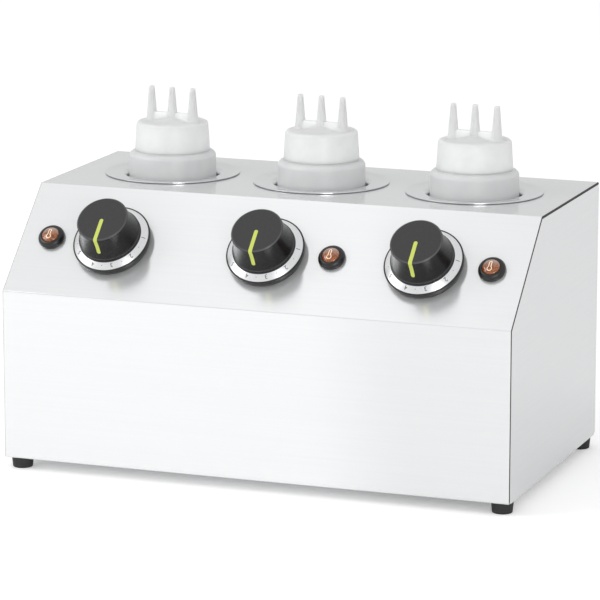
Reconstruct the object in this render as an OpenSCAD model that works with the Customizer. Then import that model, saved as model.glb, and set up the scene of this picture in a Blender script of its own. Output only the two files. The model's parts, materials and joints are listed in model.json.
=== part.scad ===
// Three-bottle topping warmer: a bent stainless casing with three heated wells, a squeeze bottle
// in each well, and a thermostat knob and a pilot lamp for each well on the sloping panel.
// Millimetres, +Z up, front face towards -Y. The origin is the middle of the footprint,
// on the surface that the feet stand on.

/* [Casing] */
// Width of the casing
casing_w = 450; // [430:1:480]
// Depth of the casing from the front face to the back face
casing_d = 255; // [250:1:280]
// Height of the casing without its feet
casing_h = 224.5; // [220:0.5:235]
// Height of the front face from its bottom edge to the knee
knee_h = 145.5; // [138:0.5:150]
// Depth that the sloping panel covers
slope_run = 83; // [78:1:88]
// Thickness of the stainless sheet
sheet = 1; // [0.8:0.1:1.2]
// Outer radius of the bends in the casing sheet
bend_r = 2; // [1.6:0.1:2.5]
// Depth of the side panels' folded edges
pan_depth = 16; // [14:1:16]
// Width of the return along the front's bottom edge
return_w = 24; // [20:1:28]
// Height of the rubber feet
foot_h = 10; // [8:0.5:14]

/* [Wells] */
// Spacing of the wells
well_pitch = 138.5; // [136:0.5:144]
// Sideways shift of the row of wells from the casing's middle
well_shift = 0.7; // [-4:0.1:4]
// Radius of a well's bore
well_r = 40.2; // [39.8:0.1:42]
// Outer radius of a well's lip
lip_r = 59; // [56:0.5:62]
// Depth of a well below the casing's top
well_depth = 200; // [190:1:203]
// Height of the band heaters
heater_h = 70; // [50:1:80]

/* [Bottles] */
// Outer radius of a bottle
bottle_r = 38; // [36:0.1:39]
// Wall of a bottle
bottle_wall = 1.8; // [1.4:0.1:2.2]
// Height of a bottle's shoulder above the casing's top
shoulder_rise = 20; // [15:0.5:25]
// Rounding of the shoulder
shoulder_r = 5; // [3:0.5:7]
// Outer radius of the neck
neck_r = 28.5; // [27:0.1:29]
// Height of the neck above the shoulder
neck_h = 22.5; // [18:0.5:22.5]

/* [Caps] */
// Outer radius of a cap at its lower edge
cap_r = 32.75; // [31.5:0.05:34]
// Outer radius of a cap under its rounded top edge
cap_top_r = 31.2; // [30.5:0.1:32]
// Height of a cap without its web and nozzles
cap_h = 25.3; // [24:0.1:28]
// Gap between the shoulder and a cap's lower edge
cap_gap = 1.2; // [1:0.1:3]
// Spacing of the nozzles
nozzle_pitch = 20; // [15:0.5:20]
// Height of a nozzle's tip above the cap's rim
nozzle_h = 28.9; // [22:0.1:34]
// Outer radius of a nozzle at its foot
nozzle_foot_r = 4.9; // [4.5:0.1:5.5]
// Outer radius of a nozzle at its tip
nozzle_tip_r = 2.4; // [2:0.1:3]
// Height of the web between the nozzles above the cap's rim
web_h = 6.6; // [4:0.1:8]
// Width of the web at its foot
web_w = 9; // [6:0.5:9]
// Height of the dome in the middle of a cap
dome_h = 3.2; // [2:0.1:4]
// Turn of the row of nozzles away from the casing's width
cap_turned = -5; // [-45:1:45]

/* [Controls] */
// Spacing of the thermostats
knob_pitch = 139; // [136:0.5:144]
// Sideways shift of the knobs and lamps from the casing's middle
knob_shift = -0.6; // [-4:0.1:4]
// Distance of the knobs up the slope from the knee
knob_up = 56.2; // [50:0.1:60]
// Outer radius of a knob's flat top
knob_r = 22.2; // [20:0.1:24]
// Radius of a knob's skirt
skirt_r = 26.8; // [25.5:0.1:27.5]
// Height of the skirt's lower edge above the panel
skirt_h = 12.6; // [10:0.1:14]
// Height of a knob's top above the panel
knob_h = 36; // [32:0.5:40]
// Outer radius of a dial bezel
bezel_r = 33.8; // [33:0.1:36]
// Height of the dial ring's face above the panel
dial_h = 7.6; // [7:0.1:10]
// Width of the lime pointer
pointer_w = 3.3; // [2.5:0.1:4]
// Distance from a knob to its pilot lamp
lamp_out = 57.3; // [54:0.1:62]
// Distance of the pilot lamps up the slope from the knee
lamp_up = 57.2; // [50:0.1:60]
// Radius of a pilot lamp's bezel
lamp_r = 11.6; // [11:0.1:13]
// Radius of a pilot lamp's lens
lens_r = 7.4; // [6:0.1:8]

/* [Back] */
// Bore of the cable gland
gland_r = 4.1; // [3:0.1:5]
// Distance that the cable gland stands out of the back
gland_out = 7; // [5:0.5:12]
// Length of a vent slot
slot_l = 34; // [24:1:36]
// Width of a vent slot
slot_w = 3.2; // [2.5:0.1:4]

/* [Hidden] */
$fn = 96;
units = [0 : 2];
function numbered(name) = [for (i = units) str(name, "_", i + 1)];

steel = [0.86, 0.87, 0.88];
dull_steel = [0.62, 0.63, 0.65];
black = [0.09, 0.09, 0.1];
milky = [0.93, 0.94, 0.94];

slope_angle = atan2(casing_h - knee_h, slope_run);
front_y = -(casing_d + gland_out) / 2;
back_y = front_y + casing_d;
wrap_d = casing_d - sheet;
top_z = foot_h + casing_h;
well_y = front_y + (slope_run + casing_d) / 2;
well_floor_z = top_z - well_depth;
shoulder_z = top_z + shoulder_rise;
neck_top_z = shoulder_z + neck_h;
cap_z = shoulder_z + cap_gap;
seal_t = 1.2;
plate_z = foot_h + sheet;
rail_top_z = well_floor_z - sheet;
lamp_side = [-1, 1, 1];
foot_in = 14;
foot_x = casing_w / 2 - 10;
clear = 0.3;

// Length 1 along v
function unit(v) = v / norm(v);

// v turned by an angle in the plane
function turned(v, angle) =
    [v[0] * cos(angle) - v[1] * sin(angle), v[0] * sin(angle) + v[1] * cos(angle)];

// Points of the arc that rounds the corner b between a and c
function fillet(a, b, c, r, steps = 6) =
    let (u = unit(a - b),
         v = unit(c - b),
         half = acos(u * v) / 2,
         centre = b + unit(u + v) * r / sin(half),
         start = b + u * r / tan(half) - centre,
         way = sign(u[0] * v[1] - u[1] * v[0]))
    [for (i = [0 : steps]) centre + turned(start, -way * (180 - 2 * half) * i / steps)];

// A closed outline with each corner rounded
function rounded(points, r) =
    let (n = len(points))
    [for (i = [0 : n - 1]) each fillet(points[(i + n - 1) % n], points[i], points[(i + 1) % n], r)];

// An open line with each inner corner rounded
function bent(points, r) =
    let (last = len(points) - 1)
    [points[0],
     for (i = [1 : last - 1]) each fillet(points[i - 1], points[i], points[i + 1], r),
     points[last]];

function reversed(points) = [for (i = [len(points) - 1 : -1 : 0]) points[i]];

// Casing outline seen from the side as [depth, height], drawn in by d at the front, slope and top
function casing_knee(d) = [d, knee_h + d * (sin(slope_angle) - 1) / cos(slope_angle)];
function casing_brow(d) = [slope_run + d * (1 - cos(slope_angle)) / sin(slope_angle), casing_h - d];
function casing_outline(d, low, back) =
    [[d, low], casing_knee(d), casing_brow(d), [back, casing_h - d], [back, low]];

// Draws a side outline and gives it a width across the casing, from x0 to x1
module across(x0, x1) {
    translate([x0, front_y, foot_h]) rotate([90, 0, 90]) linear_extrude(x1 - x0) children();
}

// Places its children on the sloping panel: +Y runs up the slope and +Z points out of it
module on_slope(x, up) {
    translate([x, front_y + up * cos(slope_angle), foot_h + knee_h + up * sin(slope_angle)])
        rotate([slope_angle, 0, 0]) children();
}

function knob_x(i) = knob_shift + (i - 1) * knob_pitch;
function well_x(i) = well_shift + (i - 1) * well_pitch;
function lamp_x(i) = knob_x(i) + lamp_side[i] * lamp_out;

module at_knob(i) { on_slope(knob_x(i), knob_up) children(); }
module at_lamp(i) { on_slope(lamp_x(i), lamp_up) children(); }
module at_well(i) { translate([well_x(i), well_y, 0]) children(); }
module at_cap(i) { at_well(i) rotate([0, 0, cap_turned]) children(); }
module at_each_foot() {
    for (x = [-foot_x, foot_x], y = [front_y + foot_in, back_y - foot_in])
        translate([x, y, 0]) children();
}

// Centres of the two screws that hold a thermostat to the panel
thermostat_screw_x = 14;
module at_thermostat_screws() {
    for (x = [-thermostat_screw_x, thermostat_screw_x]) translate([x, 0, 0]) children();
}

// Flat slot with round ends, centred, lying along X
module slot(l, w) {
    square([l - w, w], center = true);
    for (x = [-1, 1]) translate([x * (l - w) / 2, 0]) circle(d = w);
}

// Hexagon nut with a smooth bore
module hex_nut(r, bore, h) {
    difference() {
        cylinder(h = h, r = r, $fn = 6);
        translate([0, 0, -1]) cylinder(h = h + 2, r = bore);
    }
}

// Front, slope and top: one sheet with a return along the bottom and one down the back
wrap_back_return = 14;
shaft_hole_r = 6.2;
lamp_barrel_r = 8;
screw_hole_r = 2.2;
module casing_wrap() {
    outer = [[return_w, 0], [0, 0], casing_knee(0), casing_brow(0), [wrap_d, casing_h],
             [wrap_d, casing_h - wrap_back_return]];
    inner = [[return_w, sheet], [sheet, sheet], casing_knee(sheet), casing_brow(sheet),
             [wrap_d - sheet, casing_h - sheet], [wrap_d - sheet, casing_h - wrap_back_return]];
    half_w = casing_w / 2;
    color(steel) difference() {
        across(-half_w, half_w)
            polygon(concat(bent(outer, bend_r), reversed(bent(inner, bend_r - sheet))));
        // The returns stop short of the side panels
        for (side = [-1, 1]) {
            translate([side * half_w, front_y + sheet + return_w / 2 + 0.5, foot_h])
                cube([2 * (sheet + clear), return_w, 3 * sheet], center = true);
            translate([side * half_w, front_y + wrap_d, top_z - wrap_back_return])
                cube([2 * (pan_depth + clear), 3 * sheet, 2 * (wrap_back_return - bend_r)],
                     center = true);
            translate([side * half_w, front_y + wrap_d, top_z - bend_r])
                cube([2 * (sheet + clear), 2 * bend_r, 3 * bend_r], center = true);
        }
        for (i = units) {
            at_well(i) translate([0, 0, top_z - 2]) cylinder(h = 4, r = well_hole_r);
            at_knob(i) translate([0, 0, -2]) {
                cylinder(h = 4, r = shaft_hole_r);
                at_thermostat_screws() cylinder(h = 4, r = screw_hole_r);
            }
            at_lamp(i) translate([0, 0, -2]) cylinder(h = 4, r = lamp_barrel_r + 0.2);
        }
        at_each_foot() translate([0, 0, foot_h - 1]) cylinder(h = 4, r = screw_hole_r);
        at_each_back_screw() translate([0, 0, -3]) cylinder(h = 4, r = back_hole_r);
    }
}

// Side panel: a shallow pan whose folded edges lie behind the wrap. Its outer edges are bent to a
// radius, which leaves a narrow groove against the wrap
pan_edge_r = 1.6;
module pan_skin() {
    steps = 4;
    hull() {
        for (i = [0 : steps]) {
            a = 90 * i / steps;
            deep = pan_edge_r * (1 - cos(a));
            tuck = pan_edge_r * (1 - sin(a));
            across(casing_w / 2 - deep - 0.01, casing_w / 2 - deep)
                polygon(rounded(casing_outline(sheet + tuck, 0, wrap_d), 3 + tuck));
        }
        across(casing_w / 2 - pan_depth, casing_w / 2 - pan_edge_r)
            polygon(rounded(casing_outline(sheet, 0, wrap_d), 3));
    }
}

module side_panel() {
    difference() {
        pan_skin();
        across(casing_w / 2 - pan_depth - 1, casing_w / 2 - sheet)
            polygon(rounded(casing_outline(2 * sheet, sheet, wrap_d - sheet), 2));
        // Reliefs where the wrap's two returns cross the folded edges
        translate([casing_w / 2 - pan_depth - 1, front_y, 0]) {
            translate([0, 0, foot_h - 1]) cube([pan_depth + 1 - sheet, return_w + 0.5, sheet + 1.4]);
            translate([0, wrap_d - 3 * sheet, top_z - wrap_back_return - 1])
                cube([pan_depth + 1 - sheet, 4 * sheet, wrap_back_return + 1]);
        }
        at_each_foot() translate([0, 0, foot_h - 1]) cylinder(h = 4, r = screw_hole_r);
        at_each_back_screw() translate([0, 0, -3]) cylinder(h = 4, r = back_hole_r);
    }
}
module side_panel_right() { color(steel) side_panel(); }
module side_panel_left() { color(steel) mirror([1, 0, 0]) side_panel(); }

// Back panel with two rows of vent slots and the hole of the cable gland
back_inset = 3;
back_hole_r = 1.7;
back_screw_x = casing_w / 2 - 9;
back_screw_at = [[-back_screw_x, foot_h + 30], [back_screw_x, foot_h + 30],
    [-back_screw_x, top_z - 40], [back_screw_x, top_z - 40], [-70, top_z - 9], [70, top_z - 9],
    [-70, foot_h + 9], [70, foot_h + 9]];
gland_x = casing_w / 2 - 55;
gland_z = foot_h + 32;
gland_hole_r = 8.2;
module at_each_back_screw() {
    for (p = back_screw_at) translate([p[0], back_y, p[1]]) rotate([-90, 0, 0]) children();
}
vent_rows = [-1.5 : 1 : 1.5];
vent_columns = [-1 : 1];
module back_panel() {
    w = casing_w - 2 * back_inset;
    h = casing_h - 2 * back_inset;
    color(steel) translate([0, back_y, foot_h + back_inset]) rotate([90, 0, 0])
        linear_extrude(sheet) difference() {
            translate([-w / 2, 0]) square([w, h]);
            for (column = vent_columns, row = vent_rows)
                translate([column * well_pitch, casing_h - 52 + row * 10]) slot(3 * slot_l, slot_w);
            for (p = back_screw_at)
                translate([p[0], p[1] - foot_h - back_inset]) circle(r = back_hole_r);
            translate([gland_x, gland_z - foot_h - back_inset]) circle(r = gland_hole_r);
        }
}

module back_screws() {
    color(dull_steel) at_each_back_screw() {
        rotate_extrude() polygon([[0, 0], [3.4, 0], [3.2, 0.9], [2.2, 1.8], [0, 2.1]]);
        translate([0, 0, -8]) cylinder(h = 8.1, r = back_hole_r - 0.2);
    }
}

// Base plate on the folded edges, notched at the pans' round corners, with a turned-up back edge and
// vent slots under the wells
plate_lip_h = 16;
module base_plate() {
    side_x = casing_w / 2 - sheet - 0.5;
    side_in = 4 * sheet;
    lip_x = casing_w / 2 - pan_depth - 0.5;
    color(dull_steel) difference() {
        translate([0, front_y, plate_z]) union() {
            translate([-side_x, side_in, 0]) cube([2 * side_x, wrap_d - 2 * side_in, sheet]);
            translate([-lip_x, 2 * sheet, 0]) cube([2 * lip_x, wrap_d - 2 * sheet, sheet]);
            translate([-lip_x, wrap_d - sheet, 0]) cube([2 * lip_x, sheet, plate_lip_h]);
        }
        at_each_back_screw() translate([0, 0, -3]) cylinder(h = 4, r = back_hole_r);
        at_each_foot() translate([0, 0, foot_h - 1]) cylinder(h = 6, r = screw_hole_r);
        for (i = units, row = [-3 : 3])
            translate([well_x(i), well_y + row * 12, plate_z - 1])
                linear_extrude(3) slot(slot_l * 1.5, slot_w);
    }
}

// Rubber feet: tapered, with a recess for the screw's head
foot_r = [8.5, 9.5];
module feet() {
    color(black) at_each_foot() rotate_extrude() polygon([
        [3.9, 0], [foot_r[0] - 0.8, 0], [foot_r[0], 0.8], [foot_r[1], foot_h], [2.1, foot_h],
        [2.1, 4.6], [3.9, 4.6]]);
}

module foot_screws() {
    color(dull_steel) at_each_foot() {
        rotate_extrude() polygon([[0, 2], [3, 2], [3.6, 2.8], [3.6, 4.6], [2, 4.6], [2, 20], [0, 20]]);
        // Nut on the base plate
        translate([0, 0, plate_z + sheet]) hex_nut(4.1, 2.05, 3.2);
    }
}

// Wells: spun cups with a dished lip that rolls over into the bore
well_wall = 1;
lip_edge_z = 1.5;
lip_edge_t = 0.6;
lip_low_z = 0.35;
lip_roll_r = 3;
well_hole_r = well_r + lip_roll_r + 0.4;
module well(i) {
    roll = [for (a = [0 : 15 : 90])
        [well_r + lip_roll_r * (1 - sin(a)), lip_low_z - lip_roll_r * (1 - cos(a))]];
    roll_under = [for (a = [90 : -15 : 0])
        [well_r + well_wall + (lip_roll_r - well_wall) * (1 - sin(a)),
         lip_low_z - well_wall - (lip_roll_r - well_wall) * (1 - cos(a))]];
    color(steel) at_well(i) translate([0, 0, top_z]) rotate_extrude() polygon(concat(
        [[0, -well_depth], [well_r - 4, -well_depth], [well_r - 1.2, -well_depth + 1.2],
         [well_r, -well_depth + 4]],
        reversed(roll),
        [[lip_r - 12, 0.4], [lip_r - 8, 0.6], [lip_r - 4, 0.95], [lip_r - 0.4, lip_edge_z],
         [lip_r, lip_edge_z - 0.25], [lip_r, lip_edge_z - lip_edge_t], [lip_r - 3, 0]],
        [[well_r + lip_roll_r, 0]],
        reversed(roll_under),
        [[well_r + well_wall, -well_depth + 3.6], [well_r - 0.4, -well_depth + 0.4],
         [well_r - 3.6, -well_depth - well_wall], [0, -well_depth - well_wall]]));
}

// Rail under the wells: an upturned channel that stands on the base plate
module well_rail() {
    half_l = casing_w / 2 - 30;
    half_w = 26;
    low = plate_z + sheet;
    high = rail_top_z;
    color(dull_steel) translate([-half_l, well_y, 0]) rotate([90, 0, 90]) linear_extrude(2 * half_l)
        union() {
            translate([-half_w, high - sheet]) square([2 * half_w, sheet]);
            for (side = [-1, 1]) {
                translate([side * (half_w - sheet / 2), (low + high) / 2])
                    square([sheet, high - low], center = true);
                translate([side * (half_w + 6), low + sheet / 2]) square([14, sheet], center = true);
            }
        }
}

// Band heaters: a clamped band round the lower part of each well, with two ears and a bolt
band_t = 2.5;
band_z = well_floor_z + 12;
ear_gap = 5;
module heater_band(i) {
    inner = well_r + well_wall + 0.05;
    color(dull_steel) at_well(i) translate([0, 0, band_z]) difference() {
        union() {
            cylinder(h = heater_h, r = inner + band_t);
            for (side = [-1, 1])
                translate([side * (ear_gap / 2 + 1) - 1, inner, 0]) cube([2, band_t + 14, heater_h]);
        }
        translate([0, 0, -1]) cylinder(h = heater_h + 2, r = inner);
        translate([-ear_gap / 2, 0, -1]) cube([ear_gap, 2 * inner, heater_h + 2]);
        for (z = [15, heater_h - 15]) translate([-20, inner + band_t + 7, z])
            rotate([0, 90, 0]) cylinder(h = 40, r = 2.1);
    }
}

module heater_bolts() {
    color(dull_steel) for (i = units, z = [15, heater_h - 15])
        at_well(i) translate([0, well_r + well_wall + 0.05 + band_t + 7, band_z + z])
            rotate([0, 90, 0]) translate([0, 0, -ear_gap / 2 - 2]) {
                translate([0, 0, -3]) cylinder(h = 3, r = 3.6, $fn = 6);
                translate([0, 0, -0.1]) cylinder(h = 14, r = 2);
                translate([0, 0, ear_gap + 4]) hex_nut(3.6, 2.05, 3);
            }
}

// Capillary thermostats behind the slope: a body with a bushing, and two blade terminals
thermostat_w = 44;
thermostat_l = 34;
thermostat_t = 24;
shaft_r = 3;
shaft_flat = 1.5;
shaft_top = 24;
shaft_deep = 12.5;
bushing_r = 5;
module thermostat(i) {
    color(black) at_knob(i) difference() {
        union() {
            translate([0, 0, -sheet]) cylinder(h = sheet + 2.4, r = bushing_r);
            translate([-thermostat_w / 2, -thermostat_l / 2, -sheet - 1.5])
                cube([thermostat_w, thermostat_l, 1.5]);
            translate([-thermostat_w / 2 + 3, -thermostat_l / 2 + 2, -sheet - 1.5 - thermostat_t])
                cube([thermostat_w - 6, thermostat_l - 4, thermostat_t + 0.1]);
            for (y = [-8, 8])
                translate([thermostat_w / 2 - 4, y - 3.15, -sheet - 16]) cube([12, 6.3, 0.8]);
        }
        translate([0, 0, -shaft_deep - 0.5]) cylinder(h = 30, r = shaft_r + 0.06);
        at_thermostat_screws() translate([0, 0, -sheet - 6]) cylinder(h = 8, r = 1.9);
    }
}

module thermostat_screws() {
    color(dull_steel) for (i = units) at_knob(i) at_thermostat_screws() {
        translate([0, 0, -sheet - 5]) cylinder(h = sheet + 7.1, r = 1.8);
        translate([0, 0, 2]) cylinder(h = 1.6, r1 = 3.4, r2 = 2.6);
    }
}

// Thermostat shafts, flatted where the knob sits on them
module shaft(i) {
    color(dull_steel) at_knob(i) difference() {
        translate([0, 0, -shaft_deep]) cylinder(h = shaft_deep + shaft_top, r = shaft_r);
        translate([shaft_r - shaft_flat, -5, knob_low]) cube([10, 10, shaft_top]);
    }
}

// Capillary: a thin tube from the thermostat's back to a bulb that is clipped to the well
bulb_r = 3;
bulb_l = 70;
bulb_y = -(well_r + well_wall + bulb_r + 0.1);
bulb_z = band_z + heater_h + 8;
capillary_r = 1;
capillary_sides = 8;
capillary_rings = 24;

// Point at t from 0 to 1 on the curve that leaves a along u and reaches b along v
function curve_point(a, u, b, v, t) =
    pow(1 - t, 3) * a + 3 * pow(1 - t, 2) * t * (a + u) + 3 * (1 - t) * t * t * (b - v)
        + pow(t, 3) * b;

// Ring of a tube at a point, square to the way it runs; side keeps the rings in line
function tube_ring(centre, along, r, sides) =
    let (u = unit(cross(along, [1, 0.02, 0])),
         v = cross(unit(along), u))
    [for (k = [0 : sides - 1]) centre + r * (u * cos(360 * k / sides) + v * sin(360 * k / sides))];

module tube(points, r, sides) {
    last = len(points) - 1;
    rings = [for (i = [0 : last])
        tube_ring(points[i], points[min(i + 1, last)] - points[max(i - 1, 0)], r, sides)];
    quads = [for (i = [0 : last - 1], k = [0 : sides - 1])
        [i * sides + k, i * sides + (k + 1) % sides, (i + 1) * sides + (k + 1) % sides,
         (i + 1) * sides + k]];
    triangles = [for (q = quads) each [[q[2], q[1], q[0]], [q[3], q[2], q[0]]]];
    ends = [[for (k = [0 : sides - 1]) k], [for (k = [sides - 1 : -1 : 0]) last * sides + k]];
    polyhedron([for (ring = rings) each ring], concat(triangles, ends));
}

module capillary(i) {
    out = [0, sin(slope_angle), -cos(slope_angle)];
    start = [knob_x(i), front_y + knob_up * cos(slope_angle), foot_h + knee_h + knob_up * sin(slope_angle)]
        + out * (sheet + 1.5 + thermostat_t);
    bulb = [well_x(i), well_y + bulb_y, bulb_z];
    reach = 34;
    color(dull_steel) {
        translate(bulb) cylinder(h = bulb_l, r = bulb_r);
        tube([for (k = [0 : capillary_rings])
                 curve_point(start, out * reach, bulb + [0, 0, 0.5], [0, 0, reach], k / capillary_rings)],
             capillary_r, capillary_sides);
    }
}

// Clips that hold the bulbs against the wells
module bulb_clips() {
    color(dull_steel) for (i = units, z = [0.25, 0.75])
        at_well(i) translate([0, bulb_y, bulb_z + bulb_l * z - 4]) difference() {
            union() {
                cylinder(h = 8, r = bulb_r + 1);
                translate([-10, bulb_r + 0.1 - 1.2, 0]) cube([20, 1, 8]);
            }
            translate([0, 0, -1]) cylinder(h = 10, r = bulb_r + 0.05);
            translate([-4, bulb_r - 0.1, -1]) cube([8, 6, 10]);
        }
}

// Dial bezels: moulded rings that carry the dial rings, which are bevelled towards the reader
ring_inner_r = 25.4;
ring_outer_r = 32.5;
ring_top_h = 12;
ring_t = 0.9;
barrel_r = 23.6;
module dial_bezel(i) {
    color(black) at_knob(i) difference() {
        rotate_extrude() polygon([
            [7, 0], [bezel_r - 1.9, 0], [bezel_r - 1.2, 1.5], [bezel_r - 0.4, 3], [bezel_r, 5],
            [bezel_r, dial_h - 0.5], [bezel_r - 0.4, dial_h], [ring_outer_r + 0.02, dial_h],
            [ring_outer_r + 0.02, dial_h - ring_t], [ring_outer_r, dial_h - ring_t],
            [ring_inner_r, ring_top_h - ring_t], [barrel_r + 0.9, ring_top_h - ring_t],
            [barrel_r + 0.9, 2], [7, 2]]);
        at_thermostat_screws() translate([0, 0, -1]) cylinder(h = 4, r = screw_hole_r);
    }
}

module dial_ring(i) {
    color([0.82, 0.83, 0.84]) at_knob(i) rotate_extrude() polygon([
        [ring_outer_r, dial_h - ring_t], [ring_outer_r, dial_h],
        [ring_inner_r, ring_top_h], [ring_inner_r, ring_top_h - ring_t]]);
}

// Knobs: a flat top with a rounded rim, a flank that flares out into a stepped skirt, and a barrel
// that stands in the dial ring
knob_low = 3;
rim_r = 1.8;
flare_h = knob_h - rim_r;
step_h = skirt_h + 1.8;
function flank_r(h) = knob_r + (skirt_r - 0.6 - knob_r) * pow((flare_h - h) / (flare_h - step_h), 1.6);
flank = concat(
    [[barrel_r, skirt_h], [skirt_r - 0.4, skirt_h], [skirt_r, skirt_h + 0.4],
     [skirt_r, step_h - 0.4], [skirt_r - 0.6, step_h]],
    [for (h = [step_h + 1.5 : 1.5 : flare_h - 0.5]) [flank_r(h), h]],
    [for (a = [0 : 15 : 90])
        [knob_r - rim_r * (1 - cos(a)), knob_h - rim_r * (1 - sin(a))]]);
knob_wall = 2.2;
knob_roof = 3;
boss_r = 5.5;
inlay = 1;
module knob(i) {
    inside = [[knob_r - knob_wall, knob_h - knob_roof], [barrel_r - knob_wall, step_h],
              [barrel_r - knob_wall, knob_low]];
    color(black) at_knob(i) difference() {
        rotate_extrude() polygon(concat(
            [[boss_r, knob_low + 1], [boss_r, knob_h - knob_roof]], inside,
            [[barrel_r, knob_low]], flank, [[0, knob_h], [0, knob_low + 1]]));
        // Blind bore for the flatted shaft
        translate([0, 0, knob_low]) linear_extrude(shaft_top + 0.2 - knob_low) difference() {
            circle(r = shaft_r + 0.04);
            translate([shaft_r - shaft_flat + 0.04, -5]) square(10);
        }
        pointer_slab(pointer_w / 2, inlay) knob_form(0.5, 0.5);
    }
}

// Solid of the knob's outside, grown by d
module knob_form(d, top) {
    rotate_extrude() polygon(concat(
        [[0, knob_low]], [for (p = flank) p + [d, 0]],
        [[knob_r - rim_r + d, knob_h + top], [0, knob_h + top]]));
}

// What the pointer takes up: a narrow strip of the knob's skin from its middle to its lower rim
pointer_start = 1.6;
pointer_low = 20;
module pointer_slab(half_w, deep) {
    difference() {
        intersection() {
            children();
            union() {
                translate([-half_w, -skirt_r - 5, pointer_low + half_w])
                    cube([2 * half_w, skirt_r + 5 - pointer_start, 30]);
                translate([0, -pointer_start, knob_h - 5]) cylinder(h = 10, r = half_w);
                translate([0, 0, pointer_low + half_w]) rotate([90, 0, 0])
                    cylinder(h = skirt_r + 5, r = half_w);
            }
        }
        knob_form(-deep, -deep);
    }
}

module pointer(i) {
    color([0.84, 0.92, 0.25]) at_knob(i)
        pointer_slab(pointer_w / 2 - 0.02, inlay - 0.02) knob_form(0.12, 0.12);
}

// Pilot lamps: a domed bezel with a barrel through the panel, and a lens set in it
lamp_dome_h = 6;
lamp_edge_h = 1.6;
lens_seat_h = 5.6;
lens_rise = 2.2;
module lamp_bezel(i) {
    lip = lens_r + 0.6;
    dome = [for (a = [0 : 15 : 75])
        [lip + (lamp_r - lip) * cos(a), lamp_edge_h + (lamp_dome_h - lamp_edge_h) * sin(a)]];
    color(black) at_lamp(i) rotate_extrude() polygon(concat(
        [[lamp_r - 0.4, 0]], dome,
        [[lip, lamp_dome_h], [lens_r + 0.03, lamp_dome_h - 0.5], [lens_r + 0.03, 1],
         [5.5, 1], [5.5, -24], [lamp_barrel_r, -24], [lamp_barrel_r, 0]]));
}

module lamp_lens(i) {
    dome = [for (a = [0 : 10 : 90]) [lens_r * cos(a), lens_seat_h + lens_rise * sin(a)]];
    color([0.88, 0.36, 0.08]) at_lamp(i) rotate_extrude() polygon(concat([[0, 1], [lens_r, 1]], dome));
}

module lamp_nuts() {
    color(black) for (i = units) at_lamp(i) translate([0, 0, -sheet - 4]) rotate([0, 0, 30])
        hex_nut(12.5, lamp_barrel_r + 0.04, 4);
}

// Terminal block and earth stud on the base plate, near the cable gland
block = [42, 22, 16];
block_at = [gland_x - 48, back_y - 44, plate_z + sheet];
module terminal_block() {
    color([0.9, 0.9, 0.86]) translate(block_at) difference() {
        cube(block);
        for (k = [0 : 2], side = [0.25, 0.75])
            translate([block[0] * (k + 0.5) / 3, block[1] * side, block[2] - 7])
                cylinder(h = 8, r = 3);
        for (k = [0 : 2])
            translate([block[0] * (k + 0.5) / 3, -1, 5]) rotate([-90, 0, 0])
                cylinder(h = block[1] + 2, r = 2);
    }
}

module earth_stud() {
    color([0.8, 0.66, 0.3]) translate([gland_x + 28, back_y - 22, plate_z + sheet]) {
        cylinder(h = 16, r = 2.5);
        cylinder(h = 4, r = 4.6, $fn = 6);
    }
}

// Cable gland: a bushing with a round head outside and a snap ring inside the back panel
module cable_gland() {
    color(black) translate([gland_x, back_y, gland_z]) rotate([-90, 0, 0]) rotate_extrude() polygon([
        [gland_r, -11], [gland_hole_r - 1, -11], [gland_hole_r + 1, -sheet - 1.2],
        [gland_hole_r + 1, -sheet], [gland_hole_r - 0.1, -sheet], [gland_hole_r - 0.1, 0],
        [11, 0], [11, gland_out - 2.5], [9, gland_out - 0.5], [8, gland_out], [gland_r, gland_out]]);
}

// Bottles: blown bodies with a rounded shoulder and a wide neck
module bottle(i) {
    foot = [[0, well_floor_z + 2.5], [bottle_r - 12, well_floor_z + 2.5], [bottle_r - 9, well_floor_z],
            [bottle_r - 4, well_floor_z], [bottle_r - 1.2, well_floor_z + 1.2],
            [bottle_r, well_floor_z + 4]];
    shoulder = [for (a = [0 : 15 : 90])
        [bottle_r - shoulder_r * (1 - cos(a)), shoulder_z - shoulder_r * (1 - sin(a))]];
    inner_shoulder = [for (a = [90 : -15 : 0])
        [bottle_r - shoulder_r - bottle_wall + shoulder_r * cos(a),
         shoulder_z - shoulder_r - bottle_wall + shoulder_r * sin(a)]];
    color(milky) at_well(i) rotate_extrude() polygon(concat(
        foot, shoulder,
        [[neck_r, shoulder_z], [neck_r, neck_top_z], [neck_r - bottle_wall, neck_top_z],
         [neck_r - bottle_wall, shoulder_z - bottle_wall]],
        inner_shoulder,
        [[bottle_r - bottle_wall, well_floor_z + 4.6], [bottle_r - 2.8, well_floor_z + 2.6],
         [bottle_r - 8.6, well_floor_z + bottle_wall], [bottle_r - 12, well_floor_z + 2.5 + bottle_wall],
         [0, well_floor_z + 2.5 + bottle_wall]]));
}

// Seal rings between the necks and the caps
module cap_seal(i) {
    color([0.8, 0.8, 0.8]) at_well(i) translate([0, 0, neck_top_z]) difference() {
        cylinder(h = seal_t, r = neck_r + 0.2);
        translate([0, 0, -1]) cylinder(h = seal_t + 2, r = neck_r - bottle_wall + 0.1);
    }
}

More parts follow.
